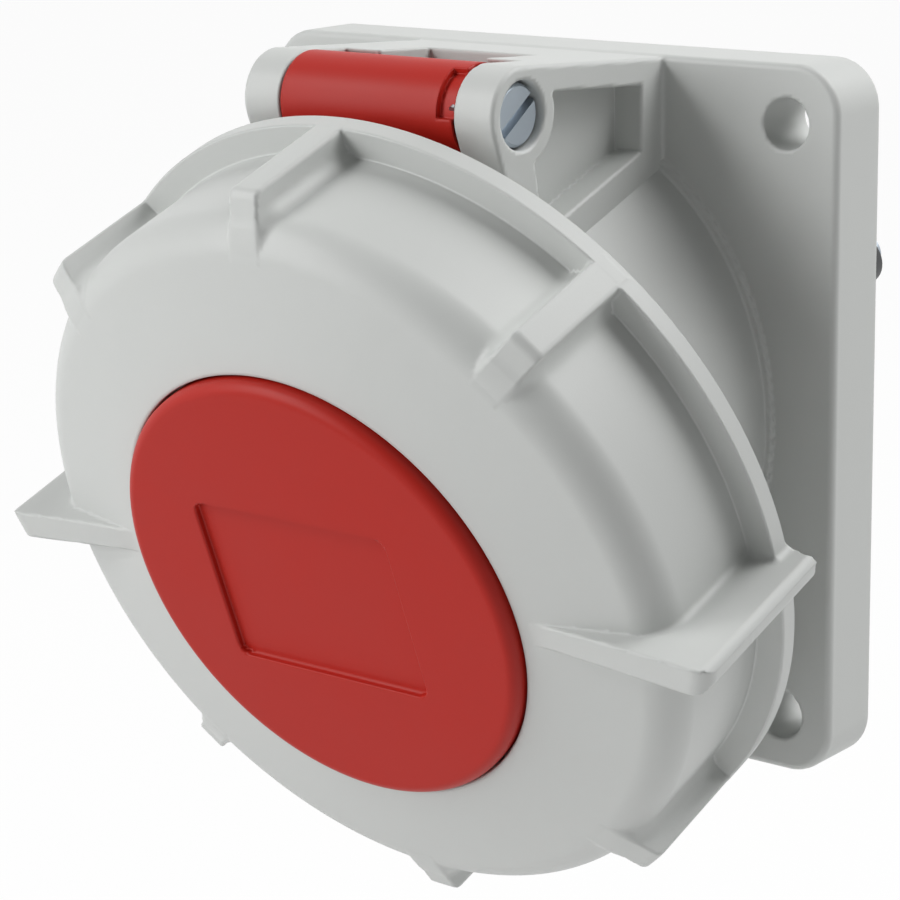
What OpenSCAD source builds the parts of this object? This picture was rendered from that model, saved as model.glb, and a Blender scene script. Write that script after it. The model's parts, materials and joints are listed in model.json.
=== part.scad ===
// Industrial panel socket: inclined collar on a square flange, five contacts,
// sprung lid on a screw hinge, and a bayonet ring that turns on the lid.
// Frame: +X right, +Z up. The panel's face is the plane Y = 0, the socket looks toward -Y.
// In the cap frame, +Z runs out along the socket's axis and +Y climbs its face.

/* [Flange] */
// Side of the square flange
flange_side = 92; // [90:0.5:104]
// Depth of the flange, from the panel to its front face
flange_depth = 10; // [8:0.5:13]
// Radius of the flange's corners
flange_corner = 6.2; // [5:0.1:8]
// Rounding of the flange's front edge
flange_edge = 1.4; // [0.6:0.1:2]
// Thickness of the flange's front wall
flange_wall = 3.2; // [2.5:0.1:4]
// Thickness of the flange's skirt
skirt_wall = 2.6; // [2:0.1:3.5]
// Distance between the fixing holes
hole_pitch = 77; // [74:0.5:78]
// Diameter of the fixing holes
hole_d = 6.5; // [5:0.1:7]
// Diameter of the bosses round the fixing holes
hole_boss_d = 13; // [11:0.5:14]
// Thickness of the flange gasket
gasket_t = 1.5; // [1:0.1:2.5]
// Thickness of the rib that backs the gasket
gasket_rib = 1.6; // [1.2:0.1:2]
// Clearance of the gasket round the barrel, which leans as it goes through the panel
gasket_clear = 1.2; // [0.8:0.1:1.6]

/* [Collar] */
// Angle by which the socket's axis points down
tilt = 20; // [10:1:25]
// Height of the axis at the flange's front face
axis_z = -0.5; // [-3:0.5:1]
// Outer radius of the collar
collar_r = 36.3; // [35.5:0.1:37]
// Bore radius of the collar, where the plug's sleeve goes
collar_bore = 33.5; // [33:0.1:34]
// Front edge of the collar along the axis
collar_front = 37; // [34:0.5:38]
// Height along the axis where the collar's front part starts, clear of the bracket
collar_foot = 20; // [19.5:0.5:22]
// Outer radius of the barrel behind the panel
barrel_r = 34.6; // [34:0.1:35.2]
// Bore radius of the barrel behind the panel
barrel_bore = 32.2; // [31.5:0.1:32.6]
// Rear end of the barrel along the axis
barrel_rear = -20; // [-26:0.5:-17]
// Bore radius of the shoulder that the insert stops on
shoulder_bore = 30.2; // [29.9:0.1:31]
// Thickness of that shoulder
shoulder_t = 4; // [3:0.5:6]
// Width of the keyway at the bottom of the collar
key_w = 8; // [6:0.5:10]
// Depth of the keyway
key_d = 2.4; // [1.5:0.1:3]
// Wall round the keyway
key_wall = 2; // [1.5:0.1:2.5]
// Height of the round land at the foot of the collar
land_t = 0.6; // [0.3:0.1:1]
// Width of that land
land_w = 0.9; // [0.5:0.1:1.5]

/* [Bayonet] */
// Outer radius of the cams on the collar
cam_r = 40.9; // [39.5:0.1:42]
// Front face of the cams along the axis
cam_front = 34.4; // [33:0.1:36]
// Thickness of a cam at its mouth
cam_thin = 2.8; // [2:0.1:3.2]
// Thickness of a cam at its locked end
cam_thick = 3.9; // [3.3:0.1:4.5]
// Angle from a lug's rest place to the cam's mouth
cam_start = 17; // [14:0.5:20]
// Angle that a cam covers
cam_arc = 33; // [32:0.5:38]
// Angle that a lug covers
lug_arc = 14; // [10:0.5:15]
// Thickness of a lug along the axis
lug_t = 3.7; // [3:0.1:4.5]
// Clearance between a lug and the locked end of its cam
lug_gap = 0.4; // [0.3:0.05:0.7]
// Clearance between the lugs and the collar
lug_clear = 0.5; // [0.4:0.05:1]

/* [Ring] */
// Outer radius of the ring's rim
rim_r = 53.2; // [52:0.1:55]
// Rear face of the rim along the axis
rim_rear = 23.2; // [22.5:0.1:24.5]
// Thickness of the rim
rim_t = 2.9; // [2.2:0.1:4]
// Outer radius of the ring's body
body_r = 49.4; // [49:0.1:50.5]
// Bore radius of the ring's body
body_bore = 46.3; // [46:0.1:46.8]
// Rounding of the ring's front shoulder
shoulder_round = 3.2; // [2:0.1:4.5]
// Slope of the ring's front face
face_slope = 12; // [9:0.5:14]
// Height of the front face at the lid's disc along the axis
face_w = 48.4; // [48:0.1:49.2]
// Thickness of the ring's front wall
face_t = 2.7; // [2.3:0.1:3]
// Number of ribs and wings round the ring
stations = 8; // [6:2:10]
// Width of a rib
rib_w = 4.4; // [3.5:0.1:6]
// Outer radius of the ribs
rib_r = 52.4; // [51:0.1:53]
// Front end of the ribs along the axis
rib_front = 43.5; // [42.5:0.1:44.5]
// Rounding of the ribs' outer front corner
rib_round = 2.1; // [1:0.1:3]
// Outer reach of the two grip wings
wing_r = 57.2; // [55:0.1:60]
// Thickness of a wing at its outer end
wing_t = 5.4; // [4:0.1:7]
// Thickness of a wing's inner tip on the face
wing_tip_t = 2.6; // [2:0.1:3.5]
// Distance of the wing's inner tip from the axis
wing_tip_r = 32.6; // [32:0.1:36]
// Front face of the wings along the axis
wing_front = 48; // [46.5:0.1:48.3]
// Rounding of the wing's outer edge
wing_round = 2.3; // [1:0.1:2.6]
// Turn of the ring about the axis at rest
ring_turn = -1.2; // [-3:0.1:3]

/* [Lid] */
// Radius of the red disc
disc_r = 30.6; // [29.5:0.1:32]
// Front face of the disc along the axis
disc_front = 50.4; // [49.5:0.1:52]
// Rounding of the disc's edge
disc_round = 1.9; // [1:0.1:2.5]
// Gap between the disc and the ring
disc_gap = 0.6; // [0.3:0.05:1]
// Thickness of the disc's wall
disc_wall = 2.2; // [1.8:0.1:2.6]
// Width of the recessed field on the disc
field_w = 31; // [20:0.5:34]
// Height of the recessed field
field_h = 23.5; // [15:0.5:28]
// Corner radius of the recessed field
field_round = 1.6; // [0.5:0.1:4]
// Depth of the recessed field
field_d = 0.7; // [0.3:0.1:1.2]
// Sideways place of the field
field_x = -0.8; // [-3:0.1:3]
// Upward place of the field
field_y = -0.6; // [-3:0.1:3]
// Radius of the lid's plate
plate_r = 43.2; // [42:0.1:44]
// Thickness of the lid's plate
plate_t = 2.5; // [2:0.1:3]
// Radius of the hub that the ring turns on
hub_r = 27; // [24:0.1:27.8]
// Wall of the hub
hub_wall = 2.5; // [2:0.1:3.5]
// Running clearance between the ring and the lid
ring_clear = 0.3; // [0.2:0.05:0.5]
// Thickness of the lid's gasket
seal_t = 2.5; // [2:0.1:3.5]
// Width of the lid's gasket on each side of the collar's edge
seal_over = 1.4; // [0.8:0.1:2]
// Clearance between the gasket and the collar's edge
seal_gap = 0.3; // [0.2:0.05:0.5]
// Thickness of the rims that hold the gasket
seal_rim = 1.2; // [0.8:0.1:1.6]
// Distance of the disc's screws from the axis
disc_screw_r = 17; // [12:0.5:19]

/* [Hinge] */
// Place of the hinge along the socket's axis
hinge_w = 13; // [12:0.1:14]
// Height of the hinge above the socket's axis
hinge_v = 49.6; // [49:0.1:51]
// Radius of the hinge ears and the knuckle
ear_r = 6; // [5.5:0.1:6.5]
// Half width over the ears
ear_x = 20; // [18.5:0.5:22]
// Half width of the space between the ears
ear_gap = 14; // [13:0.1:15]
// Clearance at each end of the knuckle
knuckle_gap = 0.35; // [0.3:0.05:0.6]
// Radius of the hinge screw's shank
pin_r = 2; // [1.6:0.05:2.2]
// Running clearance round the shank
pin_clear = 0.08; // [0.05:0.01:0.1]
// Radius of the hinge screw's head
head_r = 3.9; // [3.5:0.1:4.2]
// Thickness of the hinge screw's head
head_t = 2.4; // [1.8:0.1:3]
// Depth of the head below the ear's face
head_sink = 0.8; // [0.3:0.1:1.5]
// Gap round the head in its recess
head_gap = 0.35; // [0.2:0.05:0.5]
// Width of the screw's slot
slot_w = 1.2; // [0.8:0.1:1.5]
// Depth of the screw's slot
slot_d = 1.3; // [0.8:0.1:1.6]
// Angle of the screw's slot
slot_angle = 34; // [0:1:180]
// Half width of the lid's arm
arm_x = 11; // [9:0.5:11.5]
// Inner radius of the lid's arm
arm_in = 41.9; // [41.5:0.1:42.4]
// Outer radius of the lid's arm
arm_out = 45.3; // [44.8:0.1:45.6]
// Room round the hinge for the lid's arm
arm_room = 9; // [8.8:0.1:9.6]
// Depth of the pockets in the bracket's sides
pocket_d = 4.2; // [2:0.1:5]
// Height of the ledge under a pocket above the axis
ledge_v = 34.2; // [33.8:0.1:35]
// Half width of the recess behind the knuckle
recess_x = 8.6; // [6:0.1:10]
// Rear wall of that recess in front of the flange
recess_y = 11.5; // [8:0.1:14]
// Wall over and behind the side pockets
bracket_wall = 3.8; // [2.5:0.1:5]
// Width of the spring's notch in the knuckle
notch_w = 2.3; // [1.5:0.1:3]
// Angle that the notch covers
notch_arc = 80; // [60:5:100]

/* [Spring] */
// Radius of the spring's wire
wire_r = 0.45; // [0.3:0.05:0.5]
// Mean radius of the spring's coil
coil_r = 3.25; // [2.9:0.05:3.3]
// Turns of the spring
coil_turns = 4; // [3:1:6]
// Clearance round the spring in the knuckle
coil_gap = 0.5; // [0.3:0.05:0.6]

/* [Insert] */
// Radius of the contact carrier
carrier_r = 29.5; // [28:0.1:30]
// Front face of the contact carrier along the axis
carrier_front = 27; // [24:0.5:29]
// Thickness of the carrier's rear flange
carrier_flange = 4; // [3:0.5:6]
// Clearance of the insert in the barrel
insert_gap = 0.3; // [0.1:0.05:0.5]
// Rear face of the terminal block along the axis
block_rear = -42; // [-46:0.5:-40]
// Radius of the terminal block's rear part
block_rear_r = 26.5; // [25.8:0.1:27.5]
// Place along the axis where the terminal block steps in
block_step = -23.5; // [-24:0.1:-22]
// Distance of the contacts from the axis
contact_pcd_r = 19; // [18:0.1:20]
// Number of contacts
contacts = 5; // [4:1:5]
// Outer radius of a phase sleeve
sleeve_r = 4; // [3.6:0.1:4.3]
// Bore radius of a phase sleeve
sleeve_bore = 3.1; // [2.8:0.1:3.3]
// How much larger the earth sleeve is
earth_extra = 1; // [0.5:0.1:1.2]
// Length of a phase sleeve in the carrier
sleeve_l = 28; // [22:0.5:29]
// Width of the slits in the sleeves
slit_w = 0.8; // [0.5:0.1:1.2]
// Radius of a terminal barrel
terminal_r = 5; // [4.6:0.1:5.4]
// Length of a terminal barrel
terminal_l = 24; // [18:0.5:26]
// Radius of the wire hole in a terminal
wire_hole_r = 2.9; // [2:0.1:3.2]
// Depth of the wire hole
wire_hole_d = 15; // [10:0.5:18]
// Clearance round the contacts
contact_gap = 0.2; // [0.1:0.05:0.3]
// Radius of the terminal screws
clamp_r = 2; // [1.6:0.1:2.2]
// Depth of the clamp screws under the terminal block's surface
clamp_sink = 0.5; // [0.3:0.1:1]
// Distance of the insert's screws from the axis
lug_screw_r = 36.8; // [36:0.1:38]
// Radius of the ears that the insert's screws hold
lug_ear_r = 4.3; // [3.8:0.1:5]
// Thickness of those ears
lug_ear_t = 7; // [4:0.5:9]
// Angle of those ears above the level
lug_ear_angle = 16; // [10:1:25]
// Radius of the small screws
screw_r = 1.5; // [1.2:0.05:1.8]
// Head radius of the small screws
screw_head_r = 3; // [2.6:0.1:3.3]
// Head height of the small screws
screw_head_t = 2; // [1.4:0.1:2.4]
// Length of the insert's screws under the head
screw_l = 15; // [12:0.5:17]
// Radius of the seal ring's section
oring_r = 0.75; // [0.5:0.05:0.9]

/* [Hidden] */
$fn = 72;
// small overlap that makes joined solids one
eps = 0.05;
// fit between a screw and its threaded hole
thread_gap = 0.05;
plain_grey = [0.80, 0.81, 0.80];
signal_red = [0.70, 0.16, 0.13];
// seats along the axis, from the collar's edge outward
seal_rear = collar_front + seal_gap;
plate_rear = seal_rear + seal_t;
plate_front = plate_rear + plate_t;
lip_rear = plate_front + ring_clear + 0.1;
disc_rear = disc_front - 4.2;
lip_front = disc_rear - ring_clear;
lug_front = cam_front - cam_thick - lug_gap;
lug_rear = lug_front - lug_t;
shoulder_rear = -1;
shoulder_front = shoulder_rear + shoulder_t - 0.2;
block_front = shoulder_rear - carrier_flange;
terminal_front = block_front - 5;
terminal_rear = terminal_front - terminal_l;
// shoulder arc of the ring's outer profile, tangent to the body and to the face
arc_x = body_r - shoulder_round;
face_r = disc_r + disc_gap;
arc_w = face_w - (shoulder_round - (face_r - arc_x) * sin(face_slope)) / cos(face_slope);
// place of the hinge in the part's own frame
hinge_y = -flange_depth - hinge_w * cos(tilt) - hinge_v * sin(tilt);
hinge_z = axis_z - hinge_w * sin(tilt) + hinge_v * cos(tilt);
knuckle_end = ear_gap - knuckle_gap;
spring_x = knuckle_end - 2 * wire_r * coil_turns * 0.95 - coil_gap;

// ---- frames ----

// cap frame: +Z out along the socket's axis, +Y up its face
module cap() {
  translate([0, -flange_depth, axis_z]) rotate([90 + tilt, 0, 0]) children();
}

// panel frame: +Z out of the panel, +Y up
module panel() {
  rotate([90, 0, 0]) children();
}

// side frame: a (Y, Z) outline given thickness along X
module side(x0, x1) {
  translate([x0, 0, 0]) rotate([90, 0, 90]) linear_extrude(x1 - x0) children();
}

// hinge frame: +Z along X, +X forward, +Y up, centred on the hinge
module hinge() {
  translate([0, hinge_y, hinge_z]) rotate([0, 0, -90]) rotate([90, 0, 0])
    mirror([0, 0, 1]) children();
}

// ---- shared shapes ----

module tube(r_out, r_in, z0, z1) {
  translate([0, 0, z0]) difference() {
    cylinder(h = z1 - z0, r = r_out);
    translate([0, 0, -1]) cylinder(h = z1 - z0 + 2, r = r_in);
  }
}

module rod(r, z0, z1) {
  translate([0, 0, z0]) cylinder(h = z1 - z0, r = r);
}

module square_round(w, h, r) {
  square([w - 2 * r, h], center = true);
  square([w, h - 2 * r], center = true);
  for (sx = [-1, 1], sy = [-1, 1])
    translate([sx * (w / 2 - r), sy * (h / 2 - r)]) circle(r);
}

// slab with rounded corners and a rounded front edge
module soft_slab(w, r, t, e) {
  linear_extrude(t - e) square_round(w, w, r);
  linear_extrude(t) square_round(w - 2 * e, w - 2 * e, r - e);
  for (a = [0:90:270]) rotate([0, 0, a]) {
    translate([w / 2 - e, -(w / 2 - r), t - e]) rotate([-90, 0, 0])
      cylinder(h = w - 2 * r, r = e);
    translate([w / 2 - r, w / 2 - r, t - e]) rotate_extrude(angle = 90)
      translate([r - e, 0]) intersection() {
        circle(e);
        translate([0, -e]) square([e, 2 * e]);
      }
  }
}

// flat ring sector between two radii, from angle a0 to a1
module sector(r_in, r_out, a0, a1, z0, z1) {
  rotate([0, 0, a0]) translate([0, 0, z0]) rotate_extrude(angle = a1 - a0)
    translate([r_in, 0]) square([r_out - r_in, z1 - z0]);
}

module at_holes() {
  for (sx = [-1, 1], sy = [-1, 1])
    translate([sx * hole_pitch / 2, sy * hole_pitch / 2, 0]) children();
}

module at_ears() {
  for (a = [lug_ear_angle, 180 - lug_ear_angle]) rotate([0, 0, a])
    translate([lug_screw_r, 0, 0]) children();
}

// places of the phase contacts; the earth contact is at the bottom
module at_phases() {
  for (i = [1:contacts - 1]) rotate([0, 0, -90 + 360 / contacts * i])
    translate([contact_pcd_r, 0, 0]) children();
}

module at_earth() {
  rotate([0, 0, -90]) translate([contact_pcd_r, 0, 0]) children();
}

// ---- housing ----

module flange_shell() {
  inner = flange_side - 2 * skirt_wall;
  difference() {
    soft_slab(flange_side, flange_corner, flange_depth, flange_edge);
    translate([0, 0, -1]) linear_extrude(flange_depth - flange_wall + 1)
      square_round(inner, inner, flange_corner - skirt_wall);
  }
  at_holes() rod(hole_boss_d / 2, gasket_t, flange_depth - eps);
  translate([0, 0, gasket_t]) linear_extrude(flange_depth - gasket_t - eps) difference() {
    square_round(inner - 2, inner - 2, 4);
    square_round(inner - 2 - 2 * gasket_rib, inner - 2 - 2 * gasket_rib, 3);
  }
}

// cam with a ramp from its mouth and a flat where the lug is locked
module bayonet_cam() {
  ramp = cam_arc * 0.55;
  rise = atan((cam_thick - cam_thin) / (cam_r * sin(ramp)));
  difference() {
    sector(collar_r, cam_r, -cam_start - cam_arc, -cam_start, cam_front - cam_thick, cam_front);
    rotate([0, 0, -cam_start - ramp]) translate([collar_r - 12, 0, cam_front - cam_thick])
      rotate([rise, 0, 0]) translate([0, -1, -6]) cube([20, 21, 6]);
  }
}

// straight front part of the collar, one moulding with the housing; a node of its own keeps
// its collision pieces as slim as its wall
module collar() {
  color(plain_grey) cap() difference() {
    union() {
      rod(collar_r, collar_foot, collar_front);
      keyway_rib(collar_foot, collar_front);
    }
    rod(collar_bore, collar_foot - 1, collar_front + 1);
    keyway();
  }
}

// rib that closes the keyway on the outside
module keyway_rib(z0, z1) {
  translate([-key_w / 2 - key_wall, -collar_bore - key_d - key_wall, z0])
    cube([key_w + 2 * key_wall, 6, z1 - z0]);
}

module keyway() {
  translate([-key_w / 2, -collar_bore - key_d, 12]) cube([key_w, 8, collar_front]);
}

// the two cams are moulded on the collar; a node of their own gives each a collision piece
module bayonet_cams() {
  color(plain_grey) cap() for (s = [0, 180]) rotate([0, 0, s]) bayonet_cam();
}

// (Y, Z) outline of the hinge bracket
module bracket_outline() {
  front = [hinge_y - ear_r * cos(tilt), hinge_z - ear_r * sin(tilt)];
  polygon([
    front,
    [hinge_y, hinge_z + ear_r],
    [-flange_depth + 1, flange_side / 2 - 0.3],
    [-flange_depth + 1, 0],
    [front[0] + 38 * sin(tilt), front[1] - 38 * cos(tilt)]
  ]);
  translate([hinge_y, hinge_z]) circle(ear_r);
}

// (Y, Z) outline of a pocket in the bracket's side
module pocket_outline() {
  top = hinge_z + ear_r - bracket_wall;
  y_front = hinge_y + ear_r * 1.05;
  y_rear = -flange_depth - bracket_wall - 0.7;
  w_strip = hinge_w + 1.3;
  ledge = function (w) [-flange_depth - w * cos(tilt) - ledge_v * sin(tilt),
    axis_z - w * sin(tilt) + ledge_v * cos(tilt)];
  rear_w = (-flange_depth - ledge_v * sin(tilt) - y_rear) / cos(tilt);
  difference() {
    polygon([
      [y_front, top],
      [y_rear, top - 1.3],
      [y_rear, ledge(rear_w)[1]],
      ledge(w_strip),
      [hinge_y + 1.2, hinge_z]
    ]);
    translate([hinge_y, hinge_z]) circle(ear_r + 0.4);
  }
}

module housing() {
  color(plain_grey) difference() {
    union() {
      panel() flange_shell();
      // collar in front of the flange, with a low round land at its foot
      intersection() {
        cap() rod(collar_r, -30, collar_foot);
        translate([-60, -90, -60]) cube([120, 90 - flange_depth + flange_wall, 120]);
      }
      intersection() {
        cap() rod(collar_r + land_w, -30, collar_front);
        translate([-60, -flange_depth - land_t, -60]) cube([120, land_t + 1, 120]);
      }
      cap() {
        rod(barrel_r, barrel_rear + 0.5, 10);
        at_ears() rod(lug_ear_r, barrel_rear, -6.2);
        keyway_rib(8, collar_foot);
      }
      // hinge bracket
      difference() {
        side(-ear_x, ear_x) bracket_outline();
        side(ear_x - pocket_d, ear_x + 1) pocket_outline();
        side(-ear_x - 1, -ear_x + pocket_d) pocket_outline();
        // space for the knuckle and the lid's arm
        translate([-ear_gap, hinge_y, hinge_z]) rotate([0, 90, 0])
          cylinder(h = 2 * ear_gap, r = arm_room);
        cap() translate([-ear_gap, collar_r - 4, hinge_w - arm_room + 1.2])
          cube([2 * ear_gap, hinge_v - collar_r, 40]);
        // recess behind the knuckle
        intersection() {
          translate([-recess_x, hinge_y - 2, 0])
            cube([2 * recess_x, -hinge_y - flange_depth - recess_y + 2, 80]);
          cap() translate([-30, collar_r + 1.5, -40]) cube([60, 40, 80]);
        }
      }
    }
    panel() at_holes() rod(hole_d / 2, -1, flange_depth + 1);
    cap() {
      rod(collar_bore, shoulder_front, collar_front + 1);
      rod(shoulder_bore, shoulder_rear - 1, collar_front);
      rod(barrel_bore, barrel_rear - 1, shoulder_rear);
      keyway();
      at_ears() rod(screw_r + thread_gap, barrel_rear - 1, barrel_rear + screw_l - lug_ear_t + 0.5);
    }
    // hinge screw: shank through both ears, head sunk in the right one
    translate([-ear_x + 1.5, hinge_y, hinge_z]) rotate([0, 90, 0])
      cylinder(h = 2 * ear_x, r = pin_r + thread_gap);
    translate([ear_x - head_sink - head_t, hinge_y, hinge_z]) rotate([0, 90, 0])
      cylinder(h = 10, r = head_r + head_gap);
    // hole for the spring's fixed leg
    hinge() rotate([0, 0, 200]) translate([coil_r, 0, 0]) rod(wire_r + 0.3, ear_gap - 1, ear_gap + 3);
  }
}

module flange_gasket() {
  g = flange_side - 2 * skirt_wall - 0.6;
  color([0.2, 0.2, 0.2]) difference() {
    panel() difference() {
      linear_extrude(gasket_t) square_round(g, g, flange_corner - skirt_wall - 0.3);
      at_holes() rod(hole_d / 2 + 0.4, -1, gasket_t + 1);
    }
    cap() {
      rod(barrel_r + gasket_clear, -60, 60);
      at_ears() rod(lug_ear_r + gasket_clear, -60, 60);
    }
  }
}

// ---- insert ----

module contact_carrier() {
  color([0.25, 0.26, 0.27]) cap() difference() {
    union() {
      rod(carrier_r, shoulder_rear - 1, carrier_front - 0.8);
      translate([0, 0, carrier_front - 0.8]) cylinder(h = 0.8, r1 = carrier_r, r2 = carrier_r - 0.8);
      rod(barrel_bore - insert_gap, block_front, shoulder_rear);
    }
    at_phases() {
      rod(sleeve_r + 0.8, block_front - 1, carrier_front - 2.5);
      rod(sleeve_bore + 0.4, 0, carrier_front + 1);
    }
    at_earth() {
      rod(sleeve_r + earth_extra + 0.8, block_front - 1, carrier_front - 1.5);
      rod(sleeve_bore + earth_extra + 0.4, 0, carrier_front + 1);
    }
  }
}

module terminal_block() {
  r = barrel_bore - insert_gap;
  color([0.30, 0.31, 0.32]) cap() difference() {
    union() {
      rod(r, block_step, block_front);
      rod(block_rear_r, block_rear, block_step + 1);
      at_ears() {
        rod(lug_ear_r, barrel_rear - lug_ear_t, barrel_rear);
        translate([-lug_screw_r + block_rear_r - 1, -lug_ear_r, barrel_rear - lug_ear_t])
          cube([lug_screw_r - block_rear_r + 1, 2 * lug_ear_r, lug_ear_t]);
      }
    }
    // groove of the seal ring
    tube(r + 1, r - 2 * oring_r + 0.15, -13, -10.6);
    at_phases() contact_cavity(0);
    at_earth() contact_cavity(earth_extra);
    at_ears() rod(screw_r + 0.3, barrel_rear - 40, barrel_rear + 1);
  }
}

module contact_cavity(extra) {
  rod(sleeve_r + extra + contact_gap, terminal_front - 1, block_front + 1);
  rod(terminal_r + 0.8 * extra + contact_gap, block_rear - 1, terminal_front);
  translate([0, 0, terminal_rear + 7]) rotate([0, 90, 0])
    cylinder(h = 30, r = clamp_r + 0.6);
}

// turned contact: slit sleeve in front, terminal barrel behind
module contact(extra) {
  r = sleeve_r + extra;
  rt = terminal_r + 0.8 * extra;
  top = block_front + sleeve_l + extra;
  difference() {
    union() {
      rod(r, terminal_front - 1, top);
      rod(rt, terminal_rear, terminal_front - contact_gap);
    }
    rod(sleeve_bore + extra, block_front + 3, top + 1);
    for (a = [0, 90]) rotate([0, 0, a])
      translate([-r - 1, -slit_w / 2, block_front + 10]) cube([2 * r + 2, slit_w, 40]);
    rod(wire_hole_r, terminal_rear - 1, terminal_rear + wire_hole_d);
    translate([0, 0, terminal_rear + 7]) rotate([0, 90, 0])
      cylinder(h = 10, r = clamp_r + thread_gap);
  }
}

module phase_contacts() {
  color([0.78, 0.62, 0.30]) cap() at_phases() contact(0);
}

module earth_contact() {
  color([0.78, 0.62, 0.30]) cap() at_earth() contact(earth_extra);
}

module contact_rings() {
  z = block_front + sleeve_l - 5;
  color([0.72, 0.73, 0.75]) cap() {
    at_phases() tube(sleeve_r + 0.5, sleeve_r + 0.02, z, z + 2.5);
    at_earth() tube(sleeve_r + earth_extra + 0.5, sleeve_r + earth_extra + 0.02, z, z + 2.5);
  }
}

module clamp_screw() {
  x0 = wire_hole_r - 0.5;
  x1 = block_rear_r - contact_pcd_r - clamp_sink;
  translate([0, 0, terminal_rear + 7]) rotate([0, 90, 0]) difference() {
    rod(clamp_r, x0, x1);
    translate([-5, -0.5, x1 - 1.2]) cube([10, 1, 5]);
  }
}

module terminal_screws() {
  color([0.72, 0.73, 0.75]) cap() {
    at_phases() clamp_screw();
    at_earth() clamp_screw();
  }
}

// pan head screw pointing along +Z, underside of its head at z = 0
module small_screw(l) {
  difference() {
    union() {
      rod(screw_r, -eps, l);
      rod(screw_head_r, -screw_head_t, 0);
    }
    for (a = [0, 90]) rotate([0, 0, a])
      translate([-1.7, -0.4, -screw_head_t - 1]) cube([3.4, 0.8, 2.1]);
  }
}

module insert_screws() {
  color([0.72, 0.73, 0.75]) cap() at_ears()
    translate([0, 0, barrel_rear - lug_ear_t]) small_screw(screw_l);
}

module insert_seal() {
  r = barrel_bore - insert_gap - oring_r + 0.25;
  color([0.12, 0.12, 0.12]) cap() translate([0, 0, -11.8]) rotate_extrude()
    translate([r, 0]) circle(oring_r);
}

// ---- hinge hardware ----

module hinge_screw() {
  x_head = ear_x - head_sink - head_t;
  color([0.55, 0.58, 0.62]) translate([0, hinge_y, hinge_z]) rotate([0, 90, 0]) difference() {
    union() {
      rod(pin_r, -ear_x + 2, x_head + eps);
      rod(head_r, x_head, x_head + head_t - 0.4);
      translate([0, 0, x_head + head_t - 0.4]) cylinder(h = 0.4, r1 = head_r, r2 = head_r - 0.4);
    }
    rotate([0, 0, slot_angle]) translate([-slot_w / 2, -6, x_head + head_t - slot_d])
      cube([slot_w, 12, 5]);
  }
}

module hinge_spring() {
  pitch = 2 * wire_r * 0.95;
  last = (coil_turns - 1) * pitch;
  x0 = spring_x + coil_gap + wire_r;
  color([0.55, 0.57, 0.60]) hinge() {
    for (i = [0:coil_turns - 1]) translate([0, 0, x0 + pitch * i])
      rotate_extrude() translate([coil_r, 0]) circle(wire_r);
    // leg that presses on the knuckle's notch
    rotate([0, 0, 62]) translate([coil_r, 0, x0 + last]) rotate([90, 0, 0])
      rod(wire_r - 0.03, 0, 4.2);
    // leg that stands in the ear
    rotate([0, 0, 200]) translate([coil_r, 0, 0]) rod(wire_r - 0.03, x0 + last, ear_gap + 2.5);
  }
}

// ---- lid ----

module lid() {
  color(signal_red) {
    difference() {
      union() {
        cap() {
          rod(plate_r, plate_rear, plate_front);
          tube(hub_r, hub_r - hub_wall, plate_front - eps, disc_rear);
          // rims that hold the gasket
          tube(collar_bore - seal_over - 0.3, collar_bore - seal_over - 0.3 - seal_rim,
            seal_rear + 0.4, plate_rear + eps);
          tube(collar_r + seal_over + 0.3 + seal_rim, collar_r + seal_over + 0.3,
            seal_rear + 0.4, plate_rear + eps);
          // arm that runs back to the hinge inside the ring
          intersection() {
            tube(arm_out, arm_in, hinge_w - 3, plate_front);
            translate([-arm_x, 0, 0]) cube([2 * arm_x, 60, 60]);
          }
          intersection() {
            tube(arm_out, plate_r - 2, plate_rear, plate_front);
            translate([-arm_x, 0, 0]) cube([2 * arm_x, 60, 60]);
          }
        }
        // knuckle
        translate([-knuckle_end, hinge_y, hinge_z]) rotate([0, 90, 0])
          cylinder(h = 2 * knuckle_end, r = ear_r);
      }
      hinge() {
        rod(pin_r + pin_clear, -ear_x, ear_x);
        rod(coil_r + wire_r + coil_gap, spring_x, ear_x);
        // notch that the spring's leg presses on
        sector(pin_r, ear_r + 2, -2, notch_arc, knuckle_end - notch_w, ear_x);
      }
      cap() for (a = [90:120:330]) rotate([0, 0, a]) translate([disc_screw_r, 0, 0])
        rod(screw_r + 0.3, plate_rear - 1, plate_front + 1);
    }
  }
}

module lid_disc() {
  t = disc_front - disc_rear;
  color(signal_red) cap() difference() {
    union() {
      rod(disc_r, disc_rear, disc_front - disc_round);
      rod(disc_r - disc_round, disc_rear, disc_front);
      translate([0, 0, disc_front - disc_round]) rotate_extrude()
        translate([disc_r - disc_round, 0]) intersection() {
          circle(disc_round);
          translate([0, -disc_round]) square([disc_round, 2 * disc_round]);
        }
      // spigot inside the hub and posts for the screws
      tube(hub_r - hub_wall - 0.3, hub_r - hub_wall - 2, disc_rear - 2, disc_rear + eps);
      for (a = [90:120:330]) rotate([0, 0, a]) translate([disc_screw_r, 0, 0])
        rod(3.4, plate_front, disc_rear + eps);
    }
    // hollow under the disc, leaving a rim and the posts
    difference() {
      rod(hub_r - hub_wall - 2, disc_rear - 1, disc_front - disc_wall);
      for (a = [90:120:330]) rotate([0, 0, a]) translate([disc_screw_r, 0, 0])
        rod(3.4, plate_front - 1, disc_front);
    }
    for (a = [90:120:330]) rotate([0, 0, a]) translate([disc_screw_r, 0, 0])
      rod(screw_r + thread_gap, plate_front - 1, disc_front - disc_wall);
    translate([field_x, field_y, disc_front - field_d]) linear_extrude(5)
      square_round(field_w, field_h, field_round);
  }
}

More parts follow.
